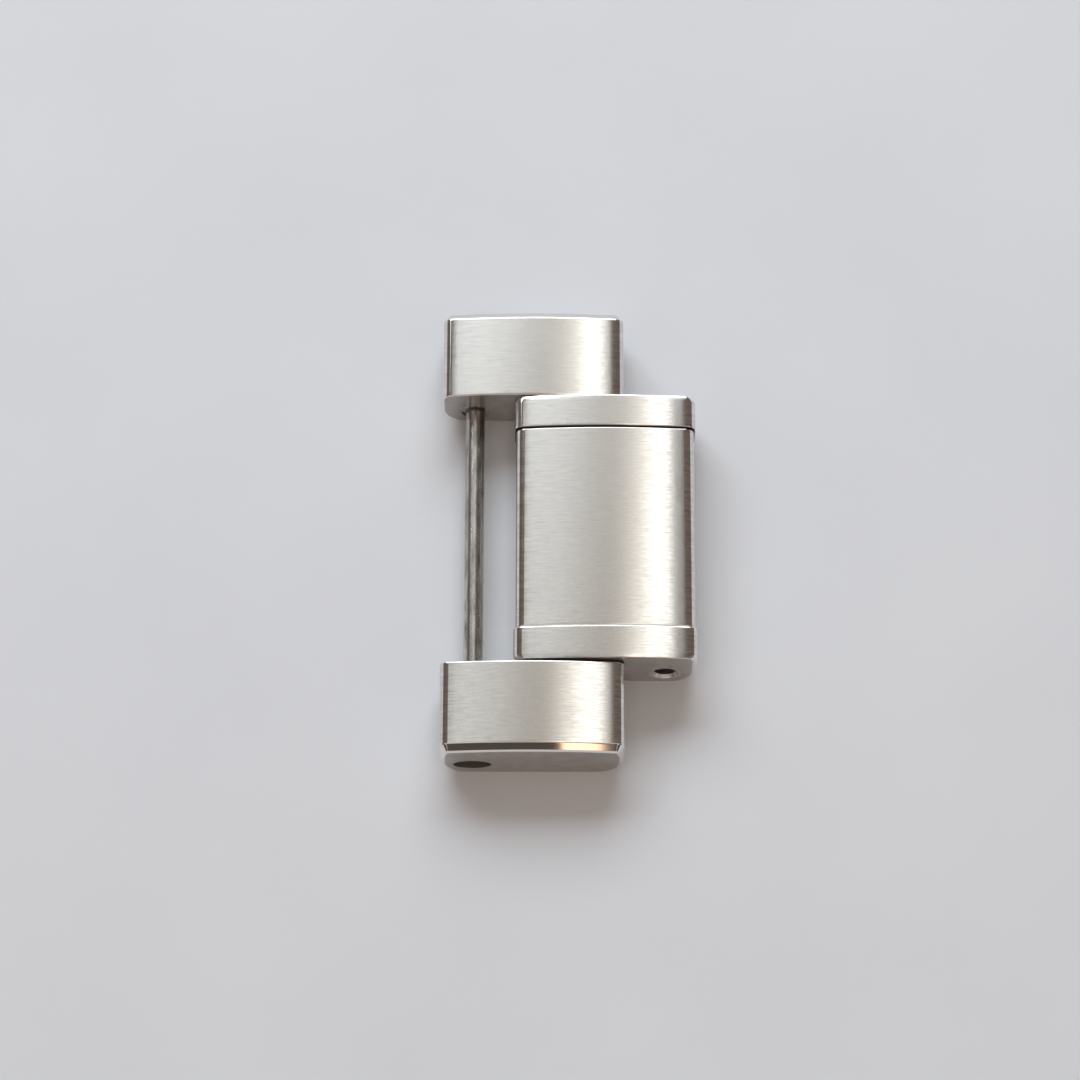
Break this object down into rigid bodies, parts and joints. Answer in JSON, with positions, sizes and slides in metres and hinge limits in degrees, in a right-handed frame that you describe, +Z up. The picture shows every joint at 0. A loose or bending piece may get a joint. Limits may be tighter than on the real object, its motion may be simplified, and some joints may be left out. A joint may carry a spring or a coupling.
{
  "type": "watch bracelet link",
  "caption": "Solid watch bracelet link: bevelled outer links carry a swinging centre link on a hidden pin and a bare push pin for the next link.",
  "frame": {"origin": "on the underside, below the hinge axis, midway between the two outer faces", "axes": "+X along the bracelet towards the free end of the centre link, +Y across the bracelet, +Z up through the crowned top"},
  "size_m": [0.0108, 0.02, 0.0029],
  "materials": {
    "link_steel": "fine brushing along the bracelet on the crowned tops and ends, polished side faces and outer bevel",
    "pin_steel": "drawn and polished round wire",
    "bush_steel": "turned steel"
  },
  "bodies": {
    "outer_links": {"outer_link_back": "link_steel", "outer_link_front": "link_steel", "hinge_pin": "pin_steel", "friction_tube_back": "bush_steel", "friction_tube_front": "bush_steel"},
    "centre_link": {"centre_block": "link_steel", "side_strip_back": "link_steel", "side_strip_front": "link_steel", "hinge_bush": "bush_steel", "free_end_bush": "bush_steel"},
    "push_pin": {"link_pin": "pin_steel"}
  },
  "joints": [
    {"name": "centre_hinge", "type": "hinge", "parent": "outer_links", "child": "centre_link", "pos_m": [0, 0, 0.00095], "axis": [0, 1, 0], "range_deg": [-142, 158]},
    {"name": "link_pin_slide", "type": "slide", "parent": "outer_links", "child": "push_pin", "axis": [0, -1, 0], "range_m": [0, 0.02]}
  ]
}
